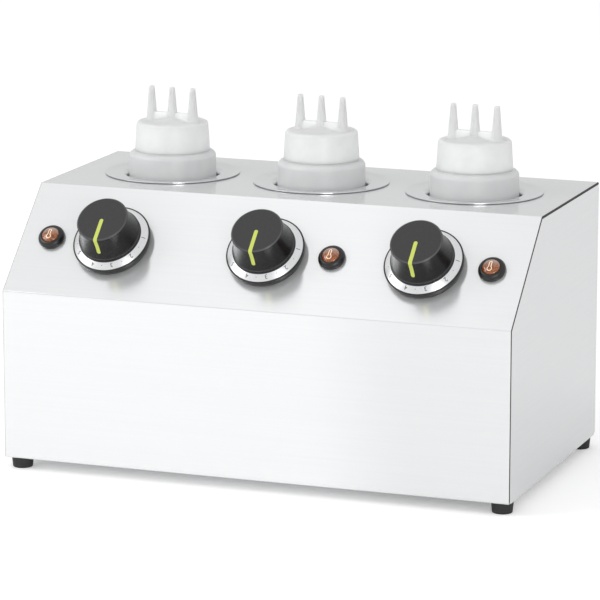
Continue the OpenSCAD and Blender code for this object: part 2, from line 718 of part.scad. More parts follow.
// Screw caps: a tapered shell with a domed roof, and a web that carries three bored nozzles
cap_edge_r = 3;
dish = 0.8;
dome_r = 19;
web_top_w = 5;
nozzle_x = [-nozzle_pitch, 0, nozzle_pitch];
function dome_z(r) = -dish + (dome_h + dish) * pow(cos(90 * r / dome_r), 2);
module cap_shell(roof_z, under_z) {
    edge = [for (a = [0 : 15 : 90])
        [cap_top_r - cap_edge_r * (1 - cos(a)), roof_z - cap_edge_r * (1 - sin(a))]];
    dome = [for (k = [6 : -1 : 0]) [dome_r * k / 6, roof_z + dome_z(dome_r * k / 6)]];
    hollow = [for (k = [1 : 5]) [dome_r * k / 6, under_z + dish + dome_z(dome_r * k / 6)]];
    rotate_extrude() polygon(concat(
        [[neck_r + 0.8, cap_z], [cap_r - 0.4, cap_z], [cap_r, cap_z + 0.4]],
        edge, [[cap_top_r - cap_edge_r - 1.2, roof_z - dish]], dome,
        [[0, under_z + dish + dome_z(0)]], hollow, [[dome_r, under_z], [neck_r + 0.8, under_z]]));
}

module cap(i) {
    roof_z = cap_z + cap_h;
    under_z = neck_top_z + seal_t;
    foot_z = roof_z - dish - 0.4;
    color(milky) at_cap(i) difference() {
        union() {
            cap_shell(roof_z, under_z);
            translate([-nozzle_pitch, 0, 0]) rotate([90, 0, 90]) linear_extrude(2 * nozzle_pitch)
                polygon([[-web_w / 2, foot_z], [web_w / 2, foot_z],
                         [web_top_w / 2, roof_z + web_h], [-web_top_w / 2, roof_z + web_h]]);
            for (x = nozzle_x) translate([x, 0, foot_z])
                cylinder(h = nozzle_h + roof_z - foot_z, r1 = nozzle_foot_r, r2 = nozzle_tip_r);
        }
        for (x = nozzle_x) translate([x, 0, under_z - 1])
            cylinder(h = nozzle_h + roof_z - under_z + 1.01,
                     r1 = nozzle_tip_r + 0.7, r2 = nozzle_tip_r - 1.2);
    }
}

casing_wrap();
side_panel_left();
side_panel_right();
back_panel();
base_plate();
feet();
foot_screws();
back_screws();
well_rail();
heater_bolts();
bulb_clips();
thermostat_screws();
lamp_nuts();
terminal_block();
earth_stud();
cable_gland();
for (i = units) {
    well(i);
    heater_band(i);
    thermostat(i);
    capillary(i);
    shaft(i);
    dial_bezel(i);
    dial_ring(i);
    knob(i);
    pointer(i);
    lamp_bezel(i);
    lamp_lens(i);
    bottle(i);
    cap_seal(i);
    cap(i);
}
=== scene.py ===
"""Looks of a three-bottle topping warmer: satin stainless casing, milky squeeze bottles, black controls."""

import json
import math

import bmesh
import bpy
from mathutils import Matrix, Vector


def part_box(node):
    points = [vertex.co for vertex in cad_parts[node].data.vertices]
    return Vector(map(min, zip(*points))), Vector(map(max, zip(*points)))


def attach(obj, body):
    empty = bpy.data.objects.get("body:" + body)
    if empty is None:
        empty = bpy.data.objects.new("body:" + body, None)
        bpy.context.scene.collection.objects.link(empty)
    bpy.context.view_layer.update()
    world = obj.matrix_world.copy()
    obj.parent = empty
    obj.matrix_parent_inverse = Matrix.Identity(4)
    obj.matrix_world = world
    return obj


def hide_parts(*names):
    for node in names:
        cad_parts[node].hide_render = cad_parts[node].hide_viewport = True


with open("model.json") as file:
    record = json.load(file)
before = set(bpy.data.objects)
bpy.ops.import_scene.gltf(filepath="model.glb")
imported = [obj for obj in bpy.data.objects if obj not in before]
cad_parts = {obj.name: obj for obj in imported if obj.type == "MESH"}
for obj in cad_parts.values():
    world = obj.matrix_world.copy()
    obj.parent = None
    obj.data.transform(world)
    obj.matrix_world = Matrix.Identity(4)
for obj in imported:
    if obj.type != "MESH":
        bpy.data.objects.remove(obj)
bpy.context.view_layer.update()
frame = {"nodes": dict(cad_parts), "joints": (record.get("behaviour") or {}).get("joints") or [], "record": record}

MM = 0.001
UNITS = (1, 2, 3)
scene = bpy.context.scene
nodes = frame["nodes"]
joints = {joint["name"]: joint for joint in frame["joints"]}
slot_of = {part["node"]: part["material_slot"] for part in frame["record"]["subparts"]}
body_of = {node: body for body, group in frame["record"]["behaviour"]["bodies"].items() for node in group}


# Shader helpers

def srgb(hex_code):
    """Linear colour of an sRGB hex value."""
    parts = [int(hex_code[i:i + 2], 16) / 255 for i in (1, 3, 5)]
    return tuple(c / 12.92 if c <= 0.04045 else ((c + 0.055) / 1.055) ** 2.4 for c in parts) + (1.0,)


def add(tree, kind, values=None, links=None, **settings):
    """Adds a node, sets its properties and inputs, and links its inputs to other outputs."""
    node = tree.nodes.new(kind)
    for key, value in settings.items():
        setattr(node, key, value)
    for key, value in (values or {}).items():
        node.inputs[key].default_value = value
    for key, output in (links or {}).items():
        tree.links.new(output, node.inputs[key])
    return node


def ramp(tree, source, *stops):
    """Colour from a number, by (place, hex) stops."""
    node = add(tree, "ShaderNodeValToRGB", links={"Fac": source})
    elements = node.color_ramp.elements
    while len(elements) < len(stops):
        elements.new(0.5)
    for element, (place, colour) in zip(elements, stops):
        element.position = place
        element.color = srgb(colour)
    return node.outputs["Color"]


def span(tree, source, low, high):
    """Number from low to high as source goes from 0 to 1."""
    node = add(tree, "ShaderNodeMapRange", {"To Min": low, "To Max": high}, {"Value": source})
    return node.outputs["Result"]


def noise(tree, coords, size, detail=2.0, stretch=(1, 1, 1)):
    """Noise with features size mm across, drawn out along an axis where stretch is below 1."""
    scaled = add(tree, "ShaderNodeMapping", {"Scale": stretch}, {"Vector": coords}).outputs["Vector"]
    return add(tree, "ShaderNodeTexNoise", {"Scale": 1 / (size * MM), "Detail": detail},
               {"Vector": scaled}).outputs["Fac"]


def bump(tree, height, depth, normal=None):
    """Normal of a height pattern that is depth mm deep, over another normal if one is given."""
    links = {"Height": height}
    if normal is not None:
        links["Normal"] = normal
    return add(tree, "ShaderNodeBump", {"Distance": depth * MM}, links).outputs["Normal"]


def surface(name, build, **values):
    """Material with a Principled shader. build gives its linked inputs, values its plain ones."""
    material = bpy.data.materials.new(name)
    material.use_nodes = True
    tree = material.node_tree
    tree.nodes.clear()
    coords = add(tree, "ShaderNodeTexCoord").outputs["Object"]
    shader = add(tree, "ShaderNodeBsdfPrincipled", links=build(tree, coords))
    for key, value in values.items():
        shader.inputs[key.replace("_", " ").title().replace("Ior", "IOR")].default_value = value
    add(tree, "ShaderNodeOutputMaterial", links={"Surface": shader.outputs["BSDF"]})
    return material


# Materials

GRAIN = "grain"
PANEL_OUT = -Vector(joints["knob_turn_1"]["axis"])
PANEL_UP = PANEL_OUT.cross(Vector((1, 0, 0)))
LENS_MIDDLE = Vector(joints["knob_turn_1"]["pos_m"]).dot(PANEL_UP) + 1 * MM


def satin_stainless(stretch, seam_shade_x=None):
    """Fine satin 304 sheet, rubbed one way: reflections keep their edges along the lines and smear
    across them, and the lines themselves are hardly seen. Past the given distance in mm from the middle,
    the sheared edge and a thin strip beside it are painted dark and dull: painted shade of the side seams."""
    def build(tree, coords):
        lines = noise(tree, coords, 1.5, 1, stretch)
        waves = noise(tree, coords, 120, 1)
        colour = ramp(tree, lines, (0.3, "#E7E8E9"), (0.7, "#E9EAEB"))
        rough = span(tree, lines, 0.16, 0.175)
        tangent = add(tree, "ShaderNodeTangent", direction_type="UV_MAP", uv_map=GRAIN).outputs["Tangent"]
        # painted shade: beyond the seam distance the sheet is coloured dark grey, standing for the shadow in the
        # seam
        if seam_shade_x is not None:
            side = add(tree, "ShaderNodeSeparateXYZ", links={"Vector": coords}).outputs["X"]
            far = add(tree, "ShaderNodeMath", links={0: side}, operation="ABSOLUTE").outputs[0]
            cut = add(tree, "ShaderNodeMath", {1: seam_shade_x * MM}, {0: far}, operation="GREATER_THAN").outputs[0]
            mixed = add(tree, "ShaderNodeMix", {"B": srgb("#3E3F41")}, {"Factor": cut, "A": colour},
                        data_type="RGBA")
            colour = mixed.outputs["Result"]
            rough = add(tree, "ShaderNodeMath", {1: 0.27, 2: 0.168}, {0: cut},
                        operation="MULTIPLY_ADD").outputs[0]
        return {"Base Color": colour, "Roughness": rough, "Normal": bump(tree, waves, 0.02),
                "Tangent": tangent}
    return build


def spun_stainless(tree, coords):
    """Spun and polished 304 of the wells: fine rings from the spinning tool, smeared across the rings."""
    rings = noise(tree, coords, 1.2, 2)
    tangent = add(tree, "ShaderNodeTangent", direction_type="UV_MAP", uv_map=GRAIN).outputs["Tangent"]
    return {"Base Color": ramp(tree, rings, (0.3, "#D9DADB"), (0.7, "#E3E4E5")),
            "Roughness": span(tree, rings, 0.20, 0.26),
            "Tangent": tangent}


def zinc_plate(tree, coords):
    """Zinc-plated steel: dull bluish grey with a cloudy passivated skin."""
    cloud = noise(tree, coords, 4, 4)
    return {"Base Color": ramp(tree, cloud, (0.3, "#A9ADB1"), (0.7, "#C3C6C8")),
            "Roughness": span(tree, cloud, 0.28, 0.48)}


def mill_steel(tree, coords):
    """Mill-finish steel of the heaters and capillaries, browned a little by heat."""
    cloud = noise(tree, coords, 9, 4)
    return {"Base Color": ramp(tree, cloud, (0.3, "#8E8A84"), (0.7, "#A8A6A2")),
            "Normal": bump(tree, noise(tree, coords, 0.6), 0.01)}


def moulded_abs(tree, coords):
    """Black ABS from a lightly sparked mould: soft sheen and a fine even grain."""
    grain = noise(tree, coords, 0.35)
    return {"Base Color": ramp(tree, noise(tree, coords, 14), (0.3, "#101011"), (0.7, "#151516")),
            "Roughness": span(tree, grain, 0.30, 0.40),
            "Normal": bump(tree, grain, 0.004)}


def knob_nylon(tree, coords):
    """Glass-filled black nylon of the knobs, satin from a fine spark texture. The face is painted paler
    than the flank as painted light, and its chamfer palest of all as a painted highlight."""
    grain = noise(tree, coords, 0.4)
    facing = add(tree, "ShaderNodeNewGeometry").outputs["Normal"]
    level = add(tree, "ShaderNodeVectorMath", {1: PANEL_OUT}, {0: facing}, operation="DOT_PRODUCT")
    # painted light: the face is paler and the flank darkest by which way they face, with a painted highlight on
    # the rim chamfer
    painted_light_tone = ramp(tree, level.outputs["Value"], (0.64, "#0F0F10"), (0.74, "#4E4E50"), (0.85, "#4E4E50"),
                (0.94, "#373738"))
    return {"Base Color": painted_light_tone,
            "Roughness": span(tree, grain, 0.24, 0.31),
            "Normal": bump(tree, grain, 0.003)}


def lime_insert(tree, coords):
    """Lime ABS strip moulded into the knob: opaque and satin."""
    grain = noise(tree, coords, 0.5)
    return {"Base Color": ramp(tree, grain, (0.3, "#C0CB56"), (0.7, "#C9D463")),
            "Normal": bump(tree, grain, 0.003)}


def silk_aluminium(tree, coords):
    """Anodised aluminium of the dial rings: silky, with turning lines too fine to see singly."""
    grain = noise(tree, coords, 0.3, 3)
    tangent = add(tree, "ShaderNodeTangent", direction_type="UV_MAP", uv_map=GRAIN).outputs["Tangent"]
    return {"Base Color": ramp(tree, grain, (0.3, "#E6E7E8"), (0.7, "#EDEEEF")),
            "Roughness": span(tree, grain, 0.24, 0.34),
            "Tangent": tangent}


def printed_ink(tree, coords):
    """Screen-printed dial ink: flat dark grey."""
    return {"Base Color": ramp(tree, noise(tree, coords, 0.5), (0.3, "#1E1E20"), (0.7, "#29292B"))}


def amber_acrylic(tree, coords):
    """Amber acrylic lens: clear gloss over a pyramid-cut back that glows in patches. The upper half is
    paler, which stands for the glare that the photo shows there."""
    cells = add(tree, "ShaderNodeTexVoronoi", {"Scale": 1 / (1.3 * MM)}, {"Vector": coords})
    glow = ramp(tree, cells.outputs["Distance"], (0.1, "#B4641C"), (0.45, "#8E4A12"), (0.8, "#52260A"))
    up = add(tree, "ShaderNodeVectorMath", {1: PANEL_UP}, {0: coords}, operation="DOT_PRODUCT")
    upper = add(tree, "ShaderNodeMapRange",
                {"From Min": LENS_MIDDLE - 1 * MM, "From Max": LENS_MIDDLE + 5 * MM, "To Max": 0.75},
                {"Value": up.outputs["Value"]})
    mixed = add(tree, "ShaderNodeMix", {"B": srgb("#A8958C")}, {"Factor": upper.outputs[0], "A": glow},
                data_type="RGBA").outputs["Result"]
    return {"Base Color": mixed, "Emission Color": glow}


def cream_print(tree, coords):
    """Cream sign printed under the lens's skin, lit from behind."""
    ink = ramp(tree, noise(tree, coords, 0.6), (0.3, "#F4D2AC"), (0.7, "#FCE6CC"))
    return {"Base Color": ink, "Emission Color": ink}


def foot_rubber(tree, coords):
    """Moulded rubber of the feet: matt black with a dusty bloom."""
    grain = noise(tree, coords, 0.5, 3)
    return {"Base Color": ramp(tree, grain, (0.3, "#222223"), (0.7, "#2C2C2D")),
            "Normal": bump(tree, grain, 0.02)}


def blown_ldpe(tree, coords):
    """Blown natural LDPE of the bottles: milky, with a waxy skin and slow clouds of wall thickness."""
    return {"Base Color": ramp(tree, noise(tree, coords, 18), (0.3, "#D9DBDC"), (0.7, "#DFE1E1")),
            "Normal": bump(tree, noise(tree, coords, 0.8), 0.004)}


def moulded_ldpe(tree, coords):
    """Injection-moulded natural LDPE of the caps: whiter than the bottles, with the same waxy skin."""
    return {"Base Color": ramp(tree, noise(tree, coords, 12), (0.3, "#E6E7E7"), (0.7, "#EBECEC")),
            "Normal": bump(tree, noise(tree, coords, 0.7), 0.003)}


def foamed_liner(tree, coords):
    """Foamed polyethylene liner: white and matt, with fine pores."""
    pores = noise(tree, coords, 0.5, 3)
    return {"Base Color": ramp(tree, pores, (0.3, "#DADADA"), (0.7, "#EDEDED")),
            "Normal": bump(tree, pores, 0.03)}


def cream_polyamide(tree, coords):
    """Cream polyamide of the terminal block."""
    grain = noise(tree, coords, 0.6)
    return {"Base Color": ramp(tree, grain, (0.3, "#DDD8C6"), (0.7, "#E8E4D6")),
            "Normal": bump(tree, grain, 0.008)}


def turned_brass(tree, coords):
    """Turned brass of the earth stud, slightly tarnished."""
    cloud = noise(tree, coords, 3, 3)
    return {"Base Color": ramp(tree, cloud, (0.3, "#B8923F"), (0.7, "#D0AC5C")),
            "Normal": bump(tree, cloud, 0.01)}


METAL = {"metallic": 1.0}
# The rubbed skin of the satin sheet scatters part of the light, which is why it is under 1
SATIN = {"metallic": 0.6, "anisotropic": 0.9}
POLYETHYLENE = {"ior": 1.51, "subsurface_radius": (1, 1, 1), "subsurface_scale": 0.010}
ALONG_X = (0.01, 1, 1)
ALONG_Y = (1, 0.01, 1)
sheet_across = surface("satin 304 sheet, rubbed across", satin_stainless(ALONG_X), **SATIN)
sheet_seam_shade = surface("satin 304 sheet with sheared edges", satin_stainless(ALONG_X, 224.78), **SATIN)
sheet_deep = surface("satin 304 sheet, rubbed front to back", satin_stainless(ALONG_Y), **SATIN)
finishes = {
    "stainless": sheet_across,
    "spun_stainless": surface("spun 304", spun_stainless, metallic=0.8, anisotropic=0.5),
    "zinc_steel": surface("zinc-plated steel", zinc_plate, **METAL),
    "heater_steel": surface("mill-finish steel", mill_steel, roughness=0.42, **METAL),
    "black_plastic": surface("moulded black ABS", moulded_abs, ior=1.53),
    "knob_plastic": surface("glass-filled black nylon", knob_nylon, ior=1.53,
                            specular_ior_level=0.28),
    "lime_plastic": surface("lime ABS insert", lime_insert, roughness=0.38, ior=1.53),
    "dial_aluminium": surface("silk anodised aluminium", silk_aluminium, metallic=0.85, anisotropic=0.6),
    "amber_lens": surface("amber acrylic", amber_acrylic, roughness=0.25, ior=1.49, coat_weight=1.0,
                          coat_roughness=0.05, emission_strength=0.1),
    "foot_rubber": surface("moulded rubber", foot_rubber, roughness=0.7),
    "bottle_polyethylene": surface("blown milky LDPE", blown_ldpe, roughness=0.38,
                                   subsurface_weight=0.6, **POLYETHYLENE),
    "cap_polyethylene": surface("moulded milky LDPE", moulded_ldpe, roughness=0.36,
                                subsurface_weight=0.7, **POLYETHYLENE),
    "seal_foam": surface("foamed polyethylene", foamed_liner, roughness=0.8),
    "terminal_plastic": surface("cream polyamide", cream_polyamide, roughness=0.5),
    "stud_brass": surface("turned brass", turned_brass, roughness=0.3, **METAL),
}
dial_ink_and_shade = surface("screen-printed ink", printed_ink, roughness=0.6)
lens_print = surface("cream lens print", cream_print, roughness=0.35, emission_strength=0.15)


# Places, from the joints of the frame

def knob_place(unit):
    """Middle of a knob on the panel: Y runs up the slope and Z out of it."""
    joint = joints[f"knob_turn_{unit}"]
    out = -Vector(joint["axis"])
    across = Vector((1, 0, 0))
    turn = Matrix((across, out.cross(across), out)).transposed()
    return Matrix.Translation(joint["pos_m"]) @ turn.to_4x4()


LAMP_OUT = 57.3
LAMP_UP = 1.0
LAMP_SIDE = {1: -1, 2: 1, 3: 1}


def lamp_place(unit):
    """Middle of a pilot lamp on the panel."""
    return knob_place(unit) @ Matrix.Translation((LAMP_SIDE[unit] * LAMP_OUT * MM, LAMP_UP * MM, 0))


def well_place(unit):
    """Axis of a well, at the height of the surface that the feet stand on."""
    x, y, _ = joints[f"cap_turn_{unit}"]["pos_m"]
    return Matrix.Translation((x, y, 0))


CAP_TURNED = math.radians(-5)


def cap_place(unit):
    """Axis of a cap, turned as the nozzles stand."""
    return well_place(unit) @ Matrix.Rotation(CAP_TURNED, 4, "Z")


# Mesh helpers; forms are in millimetres until they become pieces

def rounded(*corners, steps=6):
    """Outline through corners, each (radius, height) or (radius, height, rounding)."""
    points = []
    for k, corner in enumerate(corners):
        here = Vector(corner[:2])
        if len(corner) == 2:
            points.append(tuple(here))
            continue
        rounding = corner[2]
        back = (Vector(corners[k - 1][:2]) - here).normalized()
        ahead = (Vector(corners[(k + 1) % len(corners)][:2]) - here).normalized()
        half = back.angle(ahead) / 2
        centre = here + (back + ahead).normalized() * rounding / math.sin(half)
        reach = rounding / math.tan(half)
        first = here + back * reach - centre
        last = here + ahead * reach - centre
        sweep = math.atan2(first.x * last.y - first.y * last.x, first.dot(last))
        for step in range(steps + 1):
            points.append(tuple(centre + Matrix.Rotation(sweep * step / steps, 2) @ first))
    return points


def lathe(points, segments=128, closed=False):
    """Turns an outline round Z. The grain UV runs along the outline and round the turn."""
    bm = bmesh.new()
    uv = bm.loops.layers.uv.new(GRAIN)
    rings = []
    for radius, height in points:
        spokes = segments if radius > 1e-6 else 1
        angles = [2 * math.pi * k / segments for k in range(spokes)]
        rings.append([bm.verts.new((radius * math.cos(a), radius * math.sin(a), height)) for a in angles])
    if closed:
        points = points + points[:1]
        rings.append(rings[0])
    along = 0.0
    for k in range(len(rings) - 1):
        low, high = rings[k], rings[k + 1]
        further = along + math.dist(points[k], points[k + 1]) * MM
        for turn in range(segments):
            corners = {}
            for ring, u, v in ((low, along, turn), (low, along, turn + 1), (high, further, turn + 1),
                               (high, further, turn)):
                corners.setdefault(ring[v % len(ring)], (u, v / segments))
            if len(corners) > 2:
                face = bm.faces.new(corners)
                for loop in face.loops:
                    loop[uv].uv = corners[loop.vert]
        along = further
    bmesh.ops.recalc_face_normals(bm, faces=bm.faces)
    return bm


def evaluated_form(holder):
    """Form of an object with its modifiers applied."""
    bpy.context.view_layer.update()
    mesh = bpy.data.meshes.new_from_object(holder.evaluated_get(bpy.context.evaluated_depsgraph_get()))
    bm = bmesh.new()
    bm.from_mesh(mesh)
    bpy.data.meshes.remove(mesh)
    return bm


def held(form, name="form"):
    """Object that holds a form while modifiers work on it."""
    mesh = bpy.data.meshes.new(name)
    form.to_mesh(mesh)
    form.free()
    holder = bpy.data.objects.new(name, mesh)
    scene.collection.objects.link(holder)
    return holder


def combined(operation, *forms):
    """First form joined with, or cut by, the others: operation is UNION or DIFFERENCE."""
    holders = [held(form) for form in forms]
    for other in holders[1:]:
        step = holders[0].modifiers.new(operation.lower(), "BOOLEAN")
        step.operation = operation
        step.solver = "EXACT"
        step.object = other
    result = evaluated_form(holders[0])
    for holder in holders:
        bpy.data.objects.remove(holder)
    bmesh.ops.remove_doubles(result, verts=result.verts, dist=0.002)
    return result


def box(x0, x1, y0, y1, z0, z1):
    """Cuboid between two corners."""
    bm = bmesh.new()
    bmesh.ops.create_cube(bm, size=1)
    for vert in bm.verts:
        vert.co = [low + (high - low) * (c + 0.5)
                   for c, low, high in zip(vert.co, (x0, y0, z0), (x1, y1, z1))]
    return bm


def crease(bm, angle):
    """Smooth faces, with a hard edge wherever the surface turns by more than angle degrees."""
    for face in bm.faces:
        face.smooth = True
    for edge in bm.edges:
        edge.smooth = len(edge.link_faces) == 2 and edge.calc_face_angle() < math.radians(angle)


def make_piece(name, form, place, material, node, angle=32, stands_for=True):
    """Finished piece that rides with a CAD node, takes its slot, and stands for it where it should."""
    form.transform(place @ Matrix.Scale(MM, 4))
    crease(form, angle)
    mesh = bpy.data.meshes.new(name)
    form.to_mesh(mesh)
    form.free()
    mesh.materials.clear()
    mesh.materials.append(material)
    piece = bpy.data.objects.new(name, mesh)
    scene.collection.objects.link(piece)
    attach(piece, body_of[node])
    if stands_for:
        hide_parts(node)
    return piece


# Geometry trees for what repeats

def geometry_tree(name, **inputs):
    """Geometry tree with named inputs: numbers, or an object where the value is None."""
    tree = bpy.data.node_groups.new(name, "GeometryNodeTree")
    tree.interface.new_socket("Geometry", in_out="INPUT", socket_type="NodeSocketGeometry")
    for label, value in inputs.items():
        kind = "NodeSocketObject" if value is None else "NodeSocketFloat"
        socket = tree.interface.new_socket(label, in_out="INPUT", socket_type=kind)
        if value is not None:
            socket.default_value = value
    tree.interface.new_socket("Geometry", in_out="OUTPUT", socket_type="NodeSocketGeometry")
    return tree, add(tree, "NodeGroupInput").outputs


def finish_tree(tree, geometry, material):
    """Ends a tree with real geometry and its material."""
    real = add(tree, "GeometryNodeRealizeInstances", links={"Geometry": geometry})
    painted = add(tree, "GeometryNodeSetMaterial", {"Material": material}, {"Geometry": real.outputs[0]})
    add(tree, "NodeGroupOutput", links={"Geometry": painted.outputs[0]})


def grown(tree, start, **values):
    """Form that a tree makes from a start form and its named sizes."""
    holder = held(start, tree.name)
    modifier = holder.modifiers.new(tree.name, "NODES")
    modifier.node_group = tree
    for socket in tree.interface.items_tree:
        if socket.in_out == "INPUT" and socket.name in values:
            modifier[socket.identifier] = values[socket.name]
    form = evaluated_form(holder)
    bpy.data.objects.remove(holder)
    return form


def points_form(points):
    """Loose points that a tree puts copies on."""
    bm = bmesh.new()
    for point in points:
        bm.verts.new(point)
    return bm


def copies_tree(material):
    """Puts a copy of a part on each point, tipped back by Tip and spun by a random angle up to Spin."""
    tree, given = geometry_tree("copies on points", Part=None, Tip=0.0, Spin=0.0)
    part = add(tree, "GeometryNodeObjectInfo", links={"Object": given["Part"]})
    spin = add(tree, "FunctionNodeRandomValue", {"Seed": 7}, {"Max": given["Spin"]}, data_type="FLOAT")
    value = [socket for socket in spin.outputs if socket.enabled][0]
    turn = add(tree, "ShaderNodeCombineXYZ", links={"X": given["Tip"], "Y": value})
    spread = add(tree, "GeometryNodeInstanceOnPoints",
                 links={"Points": given["Geometry"], "Instance": part.outputs["Geometry"],
                        "Rotation": turn.outputs["Vector"]})
    finish_tree(tree, spread.outputs["Instances"], material)
    return tree


def copies(part, points, material, tip=0.0, spin=0.0):
    """One form with a copy of part on each point."""
    holder = held(part, "part")
    form = grown(copies_tree(material), points_form(points), Part=holder, Tip=tip, Spin=spin)
    bpy.data.objects.remove(holder)
    return form


def thread_tree(material):
    """Round-topped thread that winds up a neck and fades out at both ends."""
    tree, given = geometry_tree("bottle thread", Radius=28.0, Rise=7.0, Turns=2.0, Ridge=0.7)
    height = add(tree, "ShaderNodeMath", links={0: given["Rise"], 1: given["Turns"]}, operation="MULTIPLY")
    spiral = add(tree, "GeometryNodeCurveSpiral", {"Resolution": 72},
                 {"Rotations": given["Turns"], "Start Radius": given["Radius"], "End Radius": given["Radius"],
                  "Height": height.outputs[0]})
    factor = add(tree, "GeometryNodeSplineParameter").outputs["Factor"]
    rising = add(tree, "ShaderNodeMapRange", {"From Max": 0.08, "To Min": 0.15}, {"Value": factor},
                 interpolation_type="SMOOTHSTEP")
    falling = add(tree, "ShaderNodeMapRange", {"From Min": 1.0, "From Max": 0.92, "To Min": 0.15},
                  {"Value": factor}, interpolation_type="SMOOTHSTEP")
    fade = add(tree, "ShaderNodeMath", links={0: rising.outputs[0], 1: falling.outputs[0]},
               operation="MINIMUM")
    thick = add(tree, "ShaderNodeMath", links={0: fade.outputs[0], 1: given["Ridge"]}, operation="MULTIPLY")
    ring = add(tree, "GeometryNodeCurvePrimitiveCircle", {"Resolution": 12, "Radius": 1.0})
    sweep = add(tree, "GeometryNodeCurveToMesh", {"Fill Caps": True},
                {"Curve": spiral.outputs["Curve"], "Profile Curve": ring.outputs["Curve"],
                 "Scale": thick.outputs[0]})
    finish_tree(tree, sweep.outputs["Mesh"], material)
    return tree


# Casing and inner parts: welded copies of the CAD nodes with a grain direction

def grain_uv(bm, across, along):
    """UV that runs across the rubbing lines and along them; a face square to the lines gets any."""
    uv = bm.loops.layers.uv.new(GRAIN)
    for face in bm.faces:
        odd = abs(face.normal.dot(along)) > 0.9
        for loop in face.loops:
            co = loop.vert.co
            loop[uv].uv = (co.z, co.dot(across)) if odd else (co.dot(across), co.dot(along))


def welded(node):
    """Form of a CAD node with its loose triangles welded, in millimetres."""
    bm = bmesh.new()
    bm.from_mesh(nodes[node].data)
    bm.transform(Matrix.Scale(1 / MM, 4))
    bmesh.ops.remove_doubles(bm, verts=bm.verts, dist=0.002)
    bmesh.ops.dissolve_limit(bm, angle_limit=math.radians(0.05), verts=bm.verts, edges=bm.edges)
    bm.normal_update()
    return bm


def skin(node, material, across=(0, 1, 1), along=(1, 0, 0), angle=32):
    """Welded and smooth-shaded copy of a CAD node, which stands for it."""
    form = welded(node)
    grain_uv(form, Vector(across), Vector(along))
    piece = make_piece(node + "_part", form, Matrix.Identity(4), material, node, angle)
    flats = piece.modifiers.new("flat faces stay flat", "WEIGHTED_NORMAL")
    flats.keep_sharp = True
    flats.weight = 100


skin("casing_wrap", sheet_seam_shade)
skin("back_panel", sheet_across, across=(0, 0, 1))
for side in ("left", "right"):
    skin("side_panel_" + side, sheet_deep, across=(0, 0, 1), along=(0, 1, 0))

SEAM_OUT_X = 224.96
SEAM_IN_X = 223.6
SEAM_EDGES = (1.02, 2.3)
FRONT_Y = -131
KNEE_Z = 155.5
BROW_Y = -48
BACK_END_Y = 122.5


def offset_path(corners, inward):
    """Path that runs inside a chain of corners, clockwise seen from the right, at an even distance."""
    ways = [(Vector(b) - Vector(a)).normalized() for a, b in zip(corners, corners[1:])]
    sides = [Vector((way.y, -way.x)) for way in ways]
    sides = [sides[0], *sides, sides[-1]]
    return [Vector(corner) + (a + b) * inward / (1 + a.dot(b))
            for corner, a, b in zip(corners, sides, sides[1:])]


def seam_shade_form(side):
    """Painted shade of the seam: a black strip that fills the groove between the wrap's edge and a side panel."""
    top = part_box("casing_wrap")[1].z / MM
    corners = [(FRONT_Y, top - 223), (FRONT_Y, KNEE_Z), (BROW_Y, top), (BACK_END_Y, top)]
    outer, inner = [offset_path(corners, inward) for inward in SEAM_EDGES]
    bm = bmesh.new()
    rows = [[bm.verts.new((side * x, *point)) for x, point in
             ((SEAM_OUT_X, a), (SEAM_OUT_X, b), (SEAM_IN_X, b), (SEAM_IN_X, a))]
            for a, b in zip(outer, inner)]
    for low, high in zip(rows, rows[1:]):
        for k in range(4):
            bm.faces.new((low[k], low[(k + 1) % 4], high[(k + 1) % 4], high[k]))
    bm.faces.new(rows[0])
    bm.faces.new(rows[-1])
    bmesh.ops.recalc_face_normals(bm, faces=bm.faces)
    return bm


# painted shade: a black strip stands in the seam between the wrap and each side panel
for name, side in (("left", -1), ("right", 1)):
    liner = make_piece("seam_liner_" + name, seam_shade_form(side), Matrix.Identity(4), finishes["foot_rubber"],
                       "side_panel_" + name, stands_for=False)

plain = ["base_plate", "well_rail", "heater_bolts", "bulb_clips", "thermostat_screws", "lamp_nuts",
         "foot_screws", "terminal_block", "earth_stud"]
plain += [f"{kind}_{unit}" for kind in ("heater_band", "thermostat", "capillary", "shaft", "cap_seal")
          for unit in UNITS]
for node in plain:
    skin(node, finishes[slot_of[node]])


# Feet, back screws and the cable gland

TOP_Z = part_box("casing_wrap")[1].z / MM
BACK_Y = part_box("back_panel")[1].y / MM
FOOT_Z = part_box("feet")[1].z / MM
foot_low, foot_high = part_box("feet")
FOOT_TOP_R = 9.5
FOOT_R = 8.5
foot_x = foot_high.x / MM - FOOT_TOP_R
foot_ys = (foot_low.y / MM + FOOT_TOP_R, foot_high.y / MM - FOOT_TOP_R)


def foot_form():
    """Tapered rubber foot with a recess for its screw."""
    return lathe(rounded((3.9, 0, 0.3), (FOOT_R, 0, 0.8), (FOOT_TOP_R, FOOT_Z, 0.25), (2.1, FOOT_Z),
                         (2.1, 4.6), (3.9, 4.6)), 64, closed=True)


feet = copies(foot_form(), [(x, y, 0) for x in (-foot_x, foot_x) for y in foot_ys],
              finishes["foot_rubber"])
make_piece("rubber_feet", feet, Matrix.Identity(4), finishes["foot_rubber"], "feet", 40)

SCREW_HEAD_R = 3.4
SCREW_HEAD_H = 2.1
SCREW_SIDE_X = 216
SCREW_MIDDLE_X = 70
SIDE_SCREW_Z = (40, TOP_Z - 40)
MIDDLE_SCREW_Z = (19, TOP_Z - 9)


def screw_form():
    """Pan-head screw with a cross recess."""
    head = lathe(rounded((0, -8), (1.5, -8, 0.4), (1.5, 0), (SCREW_HEAD_R, 0, 0.2),
                         (SCREW_HEAD_R - 0.1, 0.9, 0.6), (2, 1.9, 1.2), (0, SCREW_HEAD_H)), 48)
    arms = [box(-a, a, -b, b, SCREW_HEAD_H - 1.3, SCREW_HEAD_H + 1) for a, b in ((1.7, 0.42), (0.42, 1.7))]
    return combined("DIFFERENCE", head, *arms)


